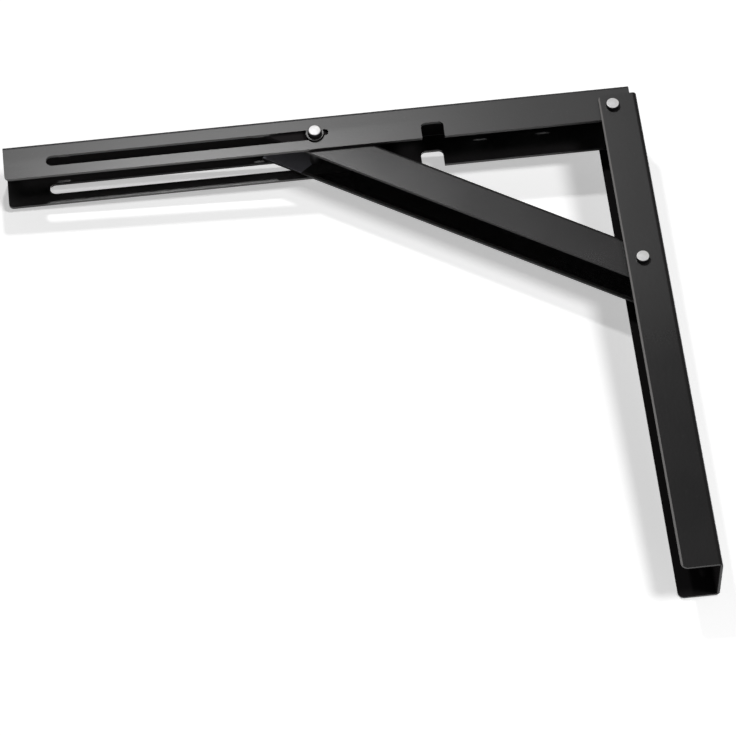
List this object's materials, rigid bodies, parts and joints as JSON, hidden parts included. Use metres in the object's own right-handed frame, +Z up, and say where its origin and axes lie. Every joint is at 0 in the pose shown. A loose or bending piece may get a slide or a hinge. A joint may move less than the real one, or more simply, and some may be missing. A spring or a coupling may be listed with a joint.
{
  "type": "folding shelf bracket",
  "caption": "Wall-mounted shelf bracket of folded steel channels: the arm folds down against its wall rail while a sliding strut follows in the arm's slots.",
  "frame": {"origin": "centre of the wall screw holes, on the face that lies on the wall", "axes": "+X into the wall, the arm reaches towards -X; +Z up; Y=0 is the middle plane"},
  "size_m": [0.505, 0.0538, 0.4425],
  "materials": {
    "black_powder_coat": "semi-gloss powder coat",
    "bright_rivet_steel": "bright zinc plate"
  },
  "bodies": {
    "rail": {"wall_rail": "black_powder_coat", "arm_pivot_pin": "bright_rivet_steel", "strut_pivot_pin": "bright_rivet_steel", "strut_spacer_front": "bright_rivet_steel", "strut_spacer_rear": "bright_rivet_steel"},
    "arm": {"shelf_arm": "black_powder_coat"},
    "slider": {"slider_pin_front": "bright_rivet_steel", "slider_pin_rear": "bright_rivet_steel", "slider_washer_front": "black_powder_coat", "slider_washer_rear": "black_powder_coat"},
    "strut": {"strut": "black_powder_coat", "slider_shaft": "bright_rivet_steel"}
  },
  "joints": [
    {"name": "arm_fold", "type": "hinge", "parent": "rail", "child": "arm", "pos_m": [-0.0205, 0, 0.227], "axis": [0, -1, 0], "range_deg": [0, 90]},
    {"name": "strut_swing", "type": "hinge", "parent": "rail", "child": "strut", "pos_m": [-0.0185, 0, 0.0797], "axis": [0, -1, 0], "range_deg": [0, 121.11]},
    {"name": "slider_slide", "type": "slide", "parent": "arm", "child": "slider", "axis": [-1, 0, 0], "range_m": [0, 0.19241]}
  ],
  "couplings": [
    {"joint": "strut_swing", "follows": "arm_fold", "ratio": 1.3456},
    {"joint": "slider_slide", "follows": "arm_fold", "m_per_rad": 0.12249}
  ]
}
